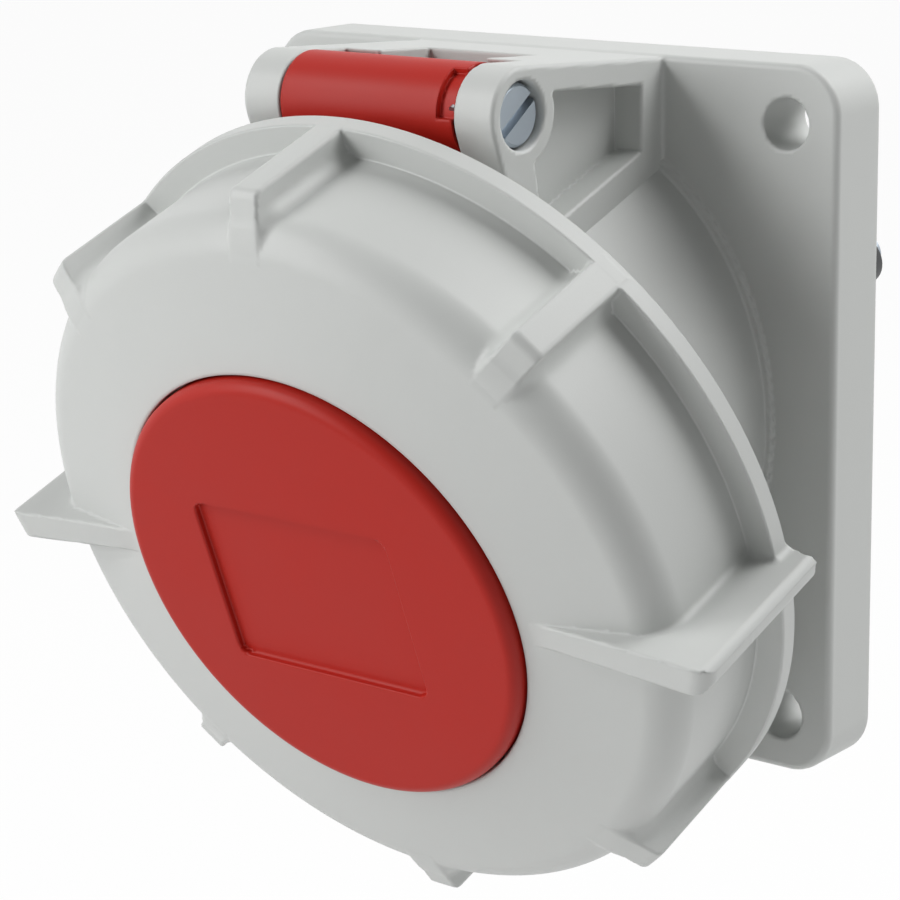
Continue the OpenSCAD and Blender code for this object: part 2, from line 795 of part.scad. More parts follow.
module disc_screws() {
  l = disc_front - disc_wall - plate_rear - 0.5;
  color([0.72, 0.73, 0.75]) cap() for (a = [90:120:330]) rotate([0, 0, a])
    translate([disc_screw_r, 0, plate_rear]) small_screw(l);
}

module lid_gasket() {
  color([0.15, 0.15, 0.16]) cap()
    tube(collar_r + seal_over, collar_bore - seal_over, seal_rear, plate_rear);
}

// ---- ring ----

// (radius, axis) outline of the plain ring
module ring_outline() {
  bore_top = arc_w - 2;
  slope = tan(face_slope);
  inner_face = face_w - face_t;
  difference() {
    union() {
      translate([0, rim_rear]) square([rim_r, rim_t]);
      translate([0, rim_rear]) square([body_r, arc_w - rim_rear]);
      translate([arc_x, arc_w]) circle(shoulder_round);
      polygon([
        [0, rim_rear],
        [arc_x, rim_rear],
        [arc_x + shoulder_round * sin(face_slope), arc_w + shoulder_round * cos(face_slope)],
        [face_r, face_w],
        [0, face_w]
      ]);
    }
    // hollow behind the front wall
    difference() {
      translate([-1, rim_rear - 1]) square([body_bore + 1, plate_front + 1.6 - rim_rear]);
      polygon([
        [body_bore + 1, plate_front - 1.4],
        [body_bore + 1, plate_front + 3],
        [body_bore - 2.2, plate_front + 3]
      ]);
    }
    translate([-1, 0]) square([hub_r + ring_clear + 1, 80]);
    translate([-1, lip_front]) square([face_r + 1, 20]);
    polygon([
      [hub_r - 1, plate_front],
      [hub_r - 1, lip_rear],
      [face_r + 1.5, lip_rear],
      [face_r + 3, inner_face - 1.1],
      [body_bore - 3, inner_face - slope * (body_bore - face_r - 2)],
      [body_bore - 3, plate_front]
    ]);
  }
}

module rib() {
  intersection() {
    rotate([90, 0, 0]) translate([0, 0, -rib_w / 2]) linear_extrude(rib_w) {
      translate([rib_r - rib_round, rib_front - rib_round]) circle(rib_round);
      polygon([
        [body_r - 2.5, rim_rear + 1],
        [rib_r + 1, rim_rear + 1],
        [rib_r + 1, rib_front - rib_round],
        [rib_r - rib_round, rib_front - rib_round],
        [rib_r - rib_round, rib_front],
        [body_r - 2.5, rib_front + 1.4],
        [body_r - 4.2, rib_front + 1.6],
        [body_r - 4.2, rib_front - 0.6],
        [body_r - 2.5, rib_front - 1.4]
      ]);
    }
    rod(rib_r, rim_rear, 60);
  }
}

// grip wing: a fin whose front edge tapers in across the face to a point
module wing() {
  y1 = wing_t / 2 - 0.5;
  y0 = y1 - wing_t;
  intersection() {
    // outline seen along the axis
    translate([0, 0, rim_rear]) linear_extrude(60) {
      polygon([
        [wing_tip_r, y1 - 0.4],
        [body_r - 2, y1],
        [wing_r - wing_round, y1],
        [wing_r - wing_round, y0],
        [body_r - 2, y0],
        [wing_tip_r, y1 - 0.4 - wing_tip_t]
      ]);
      translate([wing_r - wing_round, y1 - wing_round]) circle(wing_round);
      translate([wing_r - wing_round, y0 + wing_round]) circle(wing_round);
      translate([wing_r - wing_round, y0 + wing_round])
        square([wing_round, wing_t - 2 * wing_round]);
    }
    // outline seen from the side, with a rounded outer front corner
    rotate([90, 0, 0]) translate([0, 0, -20]) linear_extrude(40) {
      square_from([body_r - 2, rim_rear], [wing_r + 1, wing_front - wing_round]);
      square_from([body_r - 2, rim_rear], [wing_r - wing_round, wing_front]);
      translate([wing_r - wing_round, wing_front - wing_round]) circle(wing_round);
      polygon([
        [wing_tip_r, face_w - 0.9],
        [wing_tip_r, wing_front],
        [body_r - 1, wing_front],
        [body_r - 1, arc_w - 1]
      ]);
    }
  }
}

module square_from(a, b) {
  translate(a) square([b[0] - a[0], b[1] - a[1]]);
}

module lock_ring() {
  step = 360 / stations;
  color(plain_grey) cap() rotate([0, 0, ring_turn]) {
    difference() {
      union() {
        rotate_extrude() ring_outline();
        for (i = [1:stations - 1]) if (i != stations / 2) rotate([0, 0, step * i]) rib();
        wing();
        mirror([1, 0, 0]) wing();
      }
      // the fins and ribs stay outside the disc's seat
      rod(face_r, lip_front, 80);
    }
    // bayonet lugs on the bore, each with a web up to the front wall
    for (s = [0, 180]) rotate([0, 0, s])
      sector(collar_r + lug_clear, body_bore + 0.5, -lug_arc / 2, lug_arc / 2, lug_rear, lug_front);
  }
}

housing();
collar();
bayonet_cams();
flange_gasket();
contact_carrier();
terminal_block();
phase_contacts();
earth_contact();
contact_rings();
terminal_screws();
insert_screws();
insert_seal();
hinge_screw();
hinge_spring();
lid();
lid_disc();
disc_screws();
lid_gasket();
lock_ring();
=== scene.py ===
"""Looks of the industrial panel socket: moulded shells as distance fields, finishes and studio.

The moulded pieces that show are made here as fields of signed distance in millimetres. A field
can round every edge and fill every inner corner the way a mould does. Each field is turned into
a mesh over a grid of lines, with the field's own gradient as the surface normal. Pieces that
stay hidden or are plain turned parts keep their CAD shape and only get a finish.
"""

import json
import logging
import math
from dataclasses import dataclass
from enum import Enum
from typing import Callable, Optional, Sequence

import bpy
import numpy as np
from mathutils import Matrix, Vector

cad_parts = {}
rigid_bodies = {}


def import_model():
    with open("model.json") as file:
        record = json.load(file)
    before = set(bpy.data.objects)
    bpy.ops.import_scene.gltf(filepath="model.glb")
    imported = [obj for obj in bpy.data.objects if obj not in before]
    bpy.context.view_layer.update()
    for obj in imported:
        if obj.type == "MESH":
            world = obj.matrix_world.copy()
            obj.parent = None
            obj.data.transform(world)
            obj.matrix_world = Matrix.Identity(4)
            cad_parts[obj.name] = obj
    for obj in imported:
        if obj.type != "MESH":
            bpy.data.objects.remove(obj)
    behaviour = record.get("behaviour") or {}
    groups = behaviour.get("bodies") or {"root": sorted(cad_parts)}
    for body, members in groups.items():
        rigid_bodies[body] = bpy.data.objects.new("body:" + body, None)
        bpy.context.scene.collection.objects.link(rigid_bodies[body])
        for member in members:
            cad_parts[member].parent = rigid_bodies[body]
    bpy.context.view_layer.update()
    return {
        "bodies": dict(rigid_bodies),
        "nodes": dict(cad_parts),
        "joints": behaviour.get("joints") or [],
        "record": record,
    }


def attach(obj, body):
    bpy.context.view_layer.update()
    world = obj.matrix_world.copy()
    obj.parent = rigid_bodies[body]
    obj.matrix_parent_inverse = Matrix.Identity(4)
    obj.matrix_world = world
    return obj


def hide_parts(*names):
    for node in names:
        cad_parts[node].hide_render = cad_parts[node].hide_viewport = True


log = logging.getLogger("panel_socket")

MM = 0.001
TINY = 1e-9
ORIGIN = (0.0, 0.0)

PointMap = Callable[[np.ndarray], np.ndarray]


# ---------------------------------------------------------------------------------------------
# Distance fields


def _round_union(a: np.ndarray, b: np.ndarray, r: float | np.ndarray) -> np.ndarray:
    """Joins two distances with a fillet of radius r in the inner corner."""
    u = np.maximum(r - a, 0.0)
    v = np.maximum(r - b, 0.0)
    return np.maximum(r, np.minimum(a, b)) - np.sqrt(u * u + v * v)


def _round_meet(a: np.ndarray, b: np.ndarray, r: float) -> np.ndarray:
    """Keeps what two distances share, with its outer corner rounded by r."""
    u = np.maximum(r + a, 0.0)
    v = np.maximum(r + b, 0.0)
    return np.minimum(-r, np.maximum(a, b)) + np.sqrt(u * u + v * v)


@dataclass(frozen=True)
class Solid:
    """A body given by its signed distance, negative inside.

    Attributes:
        at: maps points, an array of shape (n, 3), to distances, an array of shape (n,).
    """

    at: PointMap

    def __or__(self, other: "Solid") -> "Solid":
        """Union with a sharp corner."""
        return Solid(lambda p: np.minimum(self.at(p), other.at(p)))

    def __and__(self, other: "Solid") -> "Solid":
        """Intersection with a sharp edge."""
        return Solid(lambda p: np.maximum(self.at(p), other.at(p)))

    def __sub__(self, other: "Solid") -> "Solid":
        """Difference with a sharp rim."""
        return Solid(lambda p: np.maximum(self.at(p), -other.at(p)))

    def joined(self, other: "Solid", fillet: float | PointMap) -> "Solid":
        """Union with a fillet in the corner between the two.

        Args:
            other: the body that is added.
            fillet: the fillet's radius, or a map from points to radii.

        Returns:
            The joined body.
        """
        radius = fillet if callable(fillet) else lambda p: fillet
        return Solid(lambda p: _round_union(self.at(p), other.at(p), radius(p)))

    def meet(self, other: "Solid", edge: float) -> "Solid":
        """Intersection whose outer edge is rounded."""
        return Solid(lambda p: _round_meet(self.at(p), other.at(p), edge))

    def cut(self, other: "Solid", edge: float) -> "Solid":
        """Difference whose rim is rounded."""
        return Solid(lambda p: _round_meet(self.at(p), -other.at(p), edge))

    def seen_from(self, frame: "Frame") -> "Solid":
        """The same body, for points given in the part's frame instead of this one."""
        return Solid(lambda p: self.at(frame.local(p)))

    def within(self, frame: "Frame") -> "Solid":
        """The same body, given in the part's frame, for points given in another one."""
        return Solid(lambda q: self.at(frame.world(q)))

    def gradient(self, p: np.ndarray, step: float = 0.02) -> np.ndarray:
        """Direction in which the distance grows fastest, by central differences.

        Args:
            p: points, of shape (n, 3).
            step: how far to each side the distance is taken, in millimetres.

        Returns:
            Gradients, of shape (n, 3).
        """
        out = np.empty_like(p)
        for axis in range(3):
            shift = np.zeros(3)
            shift[axis] = step
            out[:, axis] = (self.at(p + shift) - self.at(p - shift)) / (2.0 * step)
        return out


@dataclass(frozen=True)
class Frame:
    """A right-handed frame inside the part's frame, in millimetres.

    Attributes:
        origin: the frame's origin in the part's frame.
        axes: rows are the frame's unit axes in the part's frame.
    """

    origin: np.ndarray
    axes: np.ndarray

    def local(self, p: np.ndarray) -> np.ndarray:
        """Points of the part's frame, told in this frame."""
        return (p - self.origin) @ self.axes.T

    def world(self, q: np.ndarray) -> np.ndarray:
        """Points of this frame, told in the part's frame."""
        return q @ self.axes + self.origin

    def turned(self, degrees: float) -> "Frame":
        """The frame turned about its own third axis."""
        c, s = math.cos(math.radians(degrees)), math.sin(math.radians(degrees))
        return Frame(self.origin, np.array([[c, s, 0], [-s, c, 0], [0, 0, 1.0]]) @ self.axes)


# the flange is drawn with y up its front and z out of the panel
PANEL = Frame(np.zeros(3), np.array([[1.0, 0, 0], [0, 0, 1.0], [0, -1.0, 0]]))


def plane(normal: Sequence[float], offset: float) -> Solid:
    """Half-space of the points whose projection on the unit normal is below offset."""
    n = np.array(normal, float)
    n = n / np.linalg.norm(n)
    return Solid(lambda p: p @ n - offset)


def slanted(start: Sequence[float], stop: Sequence[float], side: int) -> Solid:
    """Half-space whose face stands on a line in x and y.

    Args:
        start: first point of the line.
        stop: second point of the line, at a larger x.
        side: 1 to keep what lies under the line, -1 to keep what lies over it.

    Returns:
        The half-space.
    """
    run, rise = stop[0] - start[0], stop[1] - start[1]
    offset = side * (start[1] * run - start[0] * rise) / math.hypot(run, rise)
    return plane((-side * rise, side * run, 0.0), offset)


def below(axis: int, value: float) -> Solid:
    """Points with less than a value on an axis."""
    return Solid(lambda p: p[:, axis] - value)


def above(axis: int, value: float) -> Solid:
    """Points with more than a value on an axis."""
    return Solid(lambda p: value - p[:, axis])


def between(axis: int, low: float, high: float) -> Solid:
    """Points between two values on an axis."""
    middle, half = (low + high) / 2.0, (high - low) / 2.0
    return Solid(lambda p: np.abs(p[:, axis] - middle) - half)


def post(radius: float, centre: Sequence[float] = ORIGIN, axis: int = 2) -> Solid:
    """Endless round bar along an axis, at a centre in the other two axes."""
    i, j = [k for k in range(3) if k != axis]
    return Solid(lambda p: np.hypot(p[:, i] - centre[0], p[:, j] - centre[1]) - radius)


def rod(radius: float, low: float, high: float, edge: float,
        centre: Sequence[float] = ORIGIN) -> Solid:
    """Round bar between two heights along z, with rounded rims."""
    return post(radius, centre).meet(between(2, low, high), edge)


def rounded_square(half_x: float, half_y: float, corner: float,
                   centre: Sequence[float] = ORIGIN) -> Solid:
    """Endless bar along z with a rounded rectangular section."""

    def at(p: np.ndarray) -> np.ndarray:
        qx = np.abs(p[:, 0] - centre[0]) - half_x + corner
        qy = np.abs(p[:, 1] - centre[1]) - half_y + corner
        outside = np.hypot(np.maximum(qx, 0.0), np.maximum(qy, 0.0))
        return outside + np.minimum(np.maximum(qx, qy), 0.0) - corner

    return Solid(at)


def outline(points: Sequence[Sequence[float]]) -> Solid:
    """Endless bar along x whose section in y and z is a polygon."""
    v = np.array(points, float)

    def at(p: np.ndarray) -> np.ndarray:
        q = p[:, 1:]
        best = np.full(len(q), np.inf)
        inside = np.zeros(len(q), bool)
        for a, b in zip(v, np.roll(v, -1, axis=0)):
            edge = b - a
            rel = q - a
            t = np.clip(rel @ edge / (edge @ edge), 0.0, 1.0)
            best = np.minimum(best, np.hypot(*(rel - t[:, None] * edge).T))
            crosses = (a[1] > q[:, 1]) != (b[1] > q[:, 1])
            if abs(edge[1]) > TINY:
                x = a[0] + (q[:, 1] - a[1]) * edge[0] / edge[1]
                inside ^= crosses & (q[:, 0] < x)
        return np.where(inside, -best, best)

    return Solid(at)


def folded(solid: Solid, axis: int) -> Solid:
    """The body and its mirror image across the plane where the axis is zero."""

    def at(p: np.ndarray) -> np.ndarray:
        q = p.copy()
        q[:, axis] = np.abs(q[:, axis])
        return solid.at(q)

    return Solid(at)


def spun(solid: Solid, degrees: float) -> Solid:
    """The body turned about the third axis."""
    c, s = math.cos(math.radians(degrees)), math.sin(math.radians(degrees))

    def at(p: np.ndarray) -> np.ndarray:
        q = np.stack([p[:, 0] * c + p[:, 1] * s, p[:, 1] * c - p[:, 0] * s, p[:, 2]], axis=1)
        return solid.at(q)

    return Solid(at)


# ---------------------------------------------------------------------------------------------
# Meshes from fields

# share of a step by which grids start late, so that no flat face lies on their lines
OFF_LINE = 0.37
# rows of a grid that are worked out at once
SLAB = 8
# the row of a round grid that runs round
ROUND = 1
# how points are moved onto the surface: passes, least squared slope, most of a step per pass
PASSES, LEAST_SLOPE, MOST_OF_STEP = 3, 0.2, 0.45
# millimetres to each side over which a normal is taken
NORMAL_STEP = 0.05

CORNERS = np.array([(i, j, k) for i in (0, 1) for j in (0, 1) for k in (0, 1)])
EDGES = [(a, b) for a in range(8) for b in range(a + 1, 8)
         if np.abs(CORNERS[a] - CORNERS[b]).sum() == 1]


def even_line(low: float, high: float, step: float) -> np.ndarray:
    """Lines one step apart that reach past both ends of a span."""
    return np.arange(low + OFF_LINE * step, high + step, step)


@dataclass(frozen=True)
class Grid:
    """Lines of the cells that a field is meshed on.

    Attributes:
        lines: three rising rows of values. A plain grid takes them as x, y and z, a round one
            as radius, angle and height about the third axis.
        wraps: whether the second row runs once round and closes on itself.
    """

    lines: tuple
    wraps: bool = False

    @staticmethod
    def box(low: Sequence[float], high: Sequence[float], step: float) -> "Grid":
        """Plain grid of cubes."""
        return Grid(tuple(even_line(lo, hi, step) for lo, hi in zip(low, high)))

    @staticmethod
    def rows(*rows: Sequence[float]) -> "Grid":
        """Plain grid whose steps change on the way.

        Args:
            rows: one a direction, each with its start, then pairs of an end and a step.

        Returns:
            The grid.
        """
        lines = []
        for row in rows:
            line = [row[0]]
            for end, step in zip(row[1::2], row[2::2]):
                count = int(math.ceil((end - line[-1]) / step))
                line.extend(line[-1] + step * np.arange(1, count + 1))
            lines.append(np.array(line))
        return Grid(tuple(lines))

    @staticmethod
    def polar(radii: Sequence[float], heights: Sequence[float], step: float,
              turns: int) -> "Grid":
        """Round grid with one step for radius and height, and a number of steps round."""
        angles = np.linspace(0.0, 2.0 * math.pi, turns + 1)
        return Grid((even_line(*radii, step), angles, even_line(*heights, step)), True)

    def place(self, q: np.ndarray) -> np.ndarray:
        """Points in millimetres for values along the three rows."""
        if not self.wraps:
            return q
        return np.stack([q[:, 0] * np.cos(q[:, 1]), q[:, 0] * np.sin(q[:, 1]), q[:, 2]], axis=1)

    def values(self, solid: Solid) -> np.ndarray:
        """Distances at every crossing of the lines, worked out slab by slab."""
        first, second, third = self.lines
        values = np.empty((len(first), len(second), len(third)))
        aa, bb = np.meshgrid(second, third, indexing="ij")
        flat = np.stack([np.zeros(aa.size), aa.ravel(), bb.ravel()], axis=1)
        for i in range(0, len(first), SLAB):
            slab = first[i:i + SLAB]
            q = np.tile(flat, (len(slab), 1))
            q[:, 0] = np.repeat(slab, len(flat))
            values[i:i + SLAB] = solid.at(self.place(q)).reshape(len(slab), *aa.shape)
        return values


def crossed_cells(d: np.ndarray) -> tuple[np.ndarray, np.ndarray]:
    """Cells that the zero surface runs through.

    Args:
        d: distances at the grid's crossings.

    Returns:
        The cells' numbers, of shape (n, 3), and the mean of the surface's crossings with the
        edges of each, as shares of the cell.
    """
    inside = d < 0.0
    shape = tuple(n - 1 for n in d.shape)
    count = np.zeros(shape, np.int8)
    for c in CORNERS:
        count += inside[tuple(slice(k, n + k) for k, n in zip(c, shape))]
    cells = np.argwhere((count > 0) & (count < len(CORNERS)))
    at_corner = np.stack([d[tuple((cells + c).T)] for c in CORNERS], axis=1)
    total = np.zeros((len(cells), 3))
    crossings = np.zeros(len(cells))
    for a, b in EDGES:
        da, db = at_corner[:, a], at_corner[:, b]
        hit = (da < 0.0) != (db < 0.0)
        t = np.where(hit, da / np.where(hit, da - db, 1.0), 0.0)
        spot = CORNERS[a] + t[:, None] * (CORNERS[b] - CORNERS[a])
        total += np.where(hit[:, None], spot, 0.0)
        crossings += hit
    return cells, total / crossings[:, None]


def crossed_lines(inside: np.ndarray, axis: int, wraps: bool) -> tuple[np.ndarray, np.ndarray]:
    """Edges of the grid along an axis that the surface crosses.

    Args:
        inside: whether each crossing of the grid is inside the body.
        axis: the row that the edges run along.
        wraps: whether the grid is a round one.

    Returns:
        The edges' first crossings, of shape (n, 3), and whether the body is left there.
    """
    start = [1, 1, 1]
    start[axis] = 0
    if wraps:
        start[ROUND] = 0
    near = [slice(start[k], n - 1) for k, n in enumerate(inside.shape)]
    far = list(near)
    far[axis] = slice(1, inside.shape[axis])
    lines = np.argwhere(inside[tuple(near)] != inside[tuple(far)]) + np.array(start)
    return lines, inside[tuple(lines.T)]


def settled(solid: Solid, points: np.ndarray, step: float) -> tuple[np.ndarray, np.ndarray]:
    """Moves points onto the zero surface.

    Args:
        solid: the field.
        points: points near its surface.
        step: the grid's step, which limits the moves.

    Returns:
        The moved points and the unit normals there.
    """
    for _ in range(PASSES):
        g = solid.gradient(points)
        size = np.maximum((g * g).sum(axis=1), LEAST_SLOPE)
        move = -g * (solid.at(points) / size)[:, None]
        length = np.maximum(np.linalg.norm(move, axis=1, keepdims=True), TINY)
        points = points + move * np.minimum(1.0, MOST_OF_STEP * step / length)
    g = solid.gradient(points, NORMAL_STEP)
    return points, g / np.maximum(np.linalg.norm(g, axis=1, keepdims=True), TINY)


def surface(solid: Solid, grid: Grid) -> tuple[np.ndarray, np.ndarray, np.ndarray]:
    """Mesh of the zero surface: one point a crossed cell, one quad a crossed line.

    Args:
        solid: the field.
        grid: the cells it is sampled on.

    Returns:
        Points, quads as rows of point indices, and unit normals at the points.
    """
    d = grid.values(solid)
    cells, within = crossed_cells(d)
    number = np.full(tuple(n - 1 for n in d.shape), -1, np.int64)
    number[tuple(cells.T)] = np.arange(len(cells))
    spots = []
    for k, line in enumerate(grid.lines):
        spots.append(line[cells[:, k]] + within[:, k] * np.diff(line)[cells[:, k]])
    points = grid.place(np.stack(spots, axis=1))
    quads = []
    for axis in range(3):
        u, v = [k for k in range(3) if k != axis]
        lines, leaving = crossed_lines(d < 0.0, axis, grid.wraps)
        corners = []
        for du, dv in ((0, 0), (1, 0), (1, 1), (0, 1)):
            cell = lines.copy()
            cell[:, u] -= du
            cell[:, v] -= dv
            if grid.wraps:
                cell[:, ROUND] %= number.shape[ROUND]
            corners.append(number[tuple(cell.T)])
        quad = np.stack(corners, axis=1)
        flip = leaving if axis == 1 else ~leaving
        quad[flip] = quad[flip][:, ::-1]
        quads.append(quad)
    points, normals = settled(solid, points, float(np.diff(grid.lines[2])[0]))
    return points, np.concatenate(quads), normals


def mesh_object(name: str, points: np.ndarray, quads: np.ndarray, normals: np.ndarray,
                material: bpy.types.Material) -> bpy.types.Object:
    """Object at the origin with the points that its quads use.

    Args:
        name: the object's name.
        points: points in millimetres in the part's frame.
        quads: rows of point indices.
        normals: unit normals at the points.
        material: its finish.

    Returns:
        The linked object.
    """
    used = np.unique(quads)
    renumber = np.full(len(points), -1, np.int64)
    renumber[used] = np.arange(len(used))
    points, normals, quads = points[used], normals[used], renumber[quads]
    mesh = bpy.data.meshes.new(name)
    mesh.vertices.add(len(points))
    mesh.vertices.foreach_set("co", (points * MM).astype(np.float32).ravel())
    mesh.loops.add(quads.size)
    mesh.loops.foreach_set("vertex_index", quads.astype(np.int32).ravel())
    mesh.polygons.add(len(quads))
    starts = np.arange(0, quads.size, quads.shape[1], dtype=np.int32)
    mesh.polygons.foreach_set("loop_start", starts)
    mesh.polygons.foreach_set("use_smooth", np.ones(len(quads), bool))
    mesh.update(calc_edges=True)
    mesh.validate()
    mesh.normals_split_custom_set_from_vertices(normals.astype(np.float32))
    mesh.materials.append(material)
    obj = bpy.data.objects.new(name, mesh)
    bpy.context.scene.collection.objects.link(obj)
    return obj


# ---------------------------------------------------------------------------------------------
# Sizes of the pieces that are moulded here, in millimetres and degrees


@dataclass(frozen=True)
class RingSizes:
    """Bayonet ring, along the cap's axis and out from it."""

    turn: float = -0.6  # about the axis at rest

    # body and rim
    body_r: float = 49.4
    bore_r: float = 46.3
    bore_edge: float = 0.4
    wall: float = 2.7  # behind the face
    shoulder: float = 4.2  # rounding between side and face
    slope: float = 12.0  # of the face
    face_r: float = 30.8  # where the face ends at the disc
    face_w: float = 48.4  # height of the face there
    rear_edge: float = 0.5
    rim_r: float = 53.2
    rim_rear: float = 23.2
    rim_t: float = 2.9
    rim_edge: float = 0.2

    # lip that turns on the lid's hub, behind the disc
    hub_bore: float = 27.3
    hub_edge: float = 0.3
    lip_r: float = 32.8
    lip_rear: float = 42.7
    lip_front: float = 45.9
    lip_edge: float = 0.35

    # ribs
    rib_half: float = 2.2  # half width
    rib_end: float = 45.0  # inner end, out from the axis
    rib_foot: float = 1.0  # start in front of the rim's rear
    rib_slope: float = 19.4  # of the front
    rib_round: float = 0.9  # outer front corner
    rib_edge: float = 0.35

    # grip wings, from the tip on the face out to the end
    tip_x: float = 32.6
    tip_top: float = 2.0
    tip_under: float = -1.3
    knee_x: float = 52.4  # where the top starts to fall
    knee_drop: float = 0.45
    knee_round: float = 1.0
    wing_r: float = 57.2
    wing_top: float = 0.8
    wing_under: float = -3.7
    wing_front: float = 48.0
    wing_edge: float = 0.3
    wing_round: float = 1.8  # top and under edge of the end
    wing_corner: float = 2.4  # front edge of the end
    end_lean: float = 16.0

    # fillets at the foot of ribs and wings, which widen down the ring's side
    face_fillet: float = 0.25
    fillet_run: float = 3.0
    rib_fillet: float = 2.0
    rib_fillet_at: float = 46.0
    wing_fillet: float = 1.0
    wing_fillet_at: float = 46.5

    # bayonet lugs
    lug_in: float = 36.8
    lug_middle: float = 41.0
    lug_half: float = 7.0  # half of the angle that one covers
    lug_rear: float = 26.4
    lug_front: float = 30.1
    lug_root: float = 0.6  # overlap with the body


@dataclass(frozen=True)
class DiscSizes:
    """Red disc of the lid, in the cap's frame."""

    r: float = 30.55
    front: float = 50.15
    rear: float = 46.2
    edge: float = 1.5
    rear_edge: float = 0.3
    field_half_x: float = 15.65
    field_half_y: float = 11.75
    field_centre: tuple = (-0.95, -0.6)
    field_corner: float = 1.6
    field_depth: float = 0.9
    field_edge: float = 0.15


@dataclass(frozen=True)
class HousingSizes:
    """Grey housing: flange in the panel's frame, collar in the cap's frame."""

    # flange
    half: float = 46.0
    corner: float = 6.2
    depth: float = 10.0
    edge: float = 0.9
    rear_edge: float = 0.35
    wall: float = 3.2
    skirt: float = 2.6
    hollow_edge: float = 0.3
    root: float = 1.0  # depth below the flange's front at which hidden feet end
    fillet: float = 0.5
    split: float = -9.3  # where the shell's mesh is parted, behind the flange's front

    # fixing holes, their bosses and the rib that backs the gasket
    hole_at: float = 38.5
    hole_r: float = 3.25
    hole_edge: float = 0.3
    boss_r: float = 6.5
    boss_rear: float = 0.05
    boss_edge: float = 0.2
    rib_rear: float = 1.5
    rib_out: float = 1.0  # outer face, in from the skirt
    rib_out_corner: float = 4.0
    rib_in: float = 2.6  # inner face, in from the skirt
    rib_in_corner: float = 3.0

    # collar, and the land and skin at its foot
    collar_r: float = 36.3
    collar_bore: float = 33.5
    collar_front: float = 37.0
    collar_foot: float = 20.0  # where the node called collar starts
    collar_edge: float = 0.5
    collar_fillet: float = 0.35
    bore_edge: float = 0.35
    land: float = 0.6
    land_w: float = 0.9
    land_edge: float = 0.3
    land_fillet: float = 0.2
    skin_rise: float = 0.02
    skin_w: float = 1.2

    # barrel behind the panel, and the seats of the insert's screws
    barrel_r: float = 34.6
    barrel_bore: float = 32.2
    barrel_rear: float = -20.0
    shoulder_bore: float = 30.2
    shoulder_rear: float = -1.0
    shoulder_front: float = 2.8
    hidden_bore: float = 34.1  # hole in the flange that the collar's piece fills
    hidden_edge: float = 0.2
    ear_r: float = 4.3
    ear_at: float = 36.8
    ear_angle: float = 16.0
    ear_rear: float = -20.0
    ear_front: float = -6.2
    ear_edge: float = 0.3

    # keyway
    key_half: float = 4.0
    key_r: float = 35.9
    key_in: float = 30.0
    key_wall: float = 2.0
    key_rear: float = 12.0

    # hinge bracket
    hinge_r: float = 6.0
    ear_x: float = 20.0
    gap_x: float = 14.0
    bracket_edge: float = 0.55
    bracket_drop: float = 38.0  # length of its front, down into the collar
    top_drop: float = 0.3  # its top at the flange, under the flange's edge
    head_r: float = 4.25
    head_x: float = 16.8
    head_edge: float = 0.4

    # pockets in the bracket's sides
    pocket: float = 4.2
    pocket_edge: float = 0.35
    bracket_wall: float = 3.8
    rear_wall: float = 4.5
    roof_at: float = 6.3  # front end of the roof, behind the hinge
    roof_fall: float = 1.3
    nose_at: float = 1.2  # front end of the pocket, behind the hinge
    ledge: float = 34.2
    ledge_front: float = 14.3
    eye_wall: float = 0.4  # wall left round the ear

    # room for the lid's arm, and the recess behind the knuckle
    room: float = 9.0
    chute_in: float = 4.0
    chute_out: float = 4.0
    chute_rear: float = 1.2
    chute_front: float = 60.0
    recess_x: float = 8.6
    recess_y: float = 11.5
    recess_front: float = 2.0
    recess_floor: float = 1.5
    recess_edge: float = 0.3

    # skin of the lid's knuckle, with the notch of the spring
    knuckle_x: float = 13.65
    knuckle_edge: float = 0.25
    knuckle_over: float = 0.03
    knuckle_in: float = 4.4
    notch: float = 2.2
    notch_floor: float = 5.2
    notch_middle: float = 32.0
    notch_half: float = 34.0
    notch_edge: float = 0.15


@dataclass(frozen=True)
class Places:
    """Frames and points that the CAD frame gives.

    Attributes:
        cap: frame along the socket's axis, third axis outward.
        hinge: the hinge's point in the part's frame.
    """

    cap: Frame
    hinge: np.ndarray

    @staticmethod
    def from_joints(joints: list) -> "Places":
        """Reads the places from the two joints.

        Args:
            joints: the CAD frame's joints, with pos_m and axis.

        Returns:
            The places, in millimetres.
        """
        by_name = {j["name"]: j for j in joints}
        turn = by_name["ring_turn"]
        out = -np.array(turn["axis"], float)
        out = out / np.linalg.norm(out)
        across = np.array([1.0, 0.0, 0.0])
        origin = np.array(turn["pos_m"], float) / MM
        cap = Frame(origin, np.array([across, np.cross(out, across), out]))
        return Places(cap, np.array(by_name["lid_hinge"]["pos_m"], float) / MM)


# ---------------------------------------------------------------------------------------------
# Moulded pieces


def ring_face(z: RingSizes) -> Solid:
    """All that lies behind the ring's conical face."""
    slope = math.radians(z.slope)
    return Solid(lambda p: (np.hypot(p[:, 0], p[:, 1]) - z.face_r) * math.sin(slope)
                 + (p[:, 2] - z.face_w) * math.cos(slope))


def ring_ribs(z: RingSizes) -> Solid:
    """Six ribs, flush with the rim, whose fronts run out on the face."""
    lean = math.radians(z.rib_slope)
    top = z.face_w - (z.rib_end - z.face_r) * math.tan(math.radians(z.slope))
    front = plane((math.sin(lean), 0, math.cos(lean)),
                  z.rib_end * math.sin(lean) + top * math.cos(lean))
    rib = post(z.rim_r).meet(front, z.rib_round)
    rib = rib.meet(between(1, -z.rib_half, z.rib_half), z.rib_edge)
    rib = rib & above(2, z.rim_rear + z.rib_foot) & above(0, z.rib_end)
    return folded(folded(spun(rib, 45.0) | spun(rib, 90.0), 0), 1)


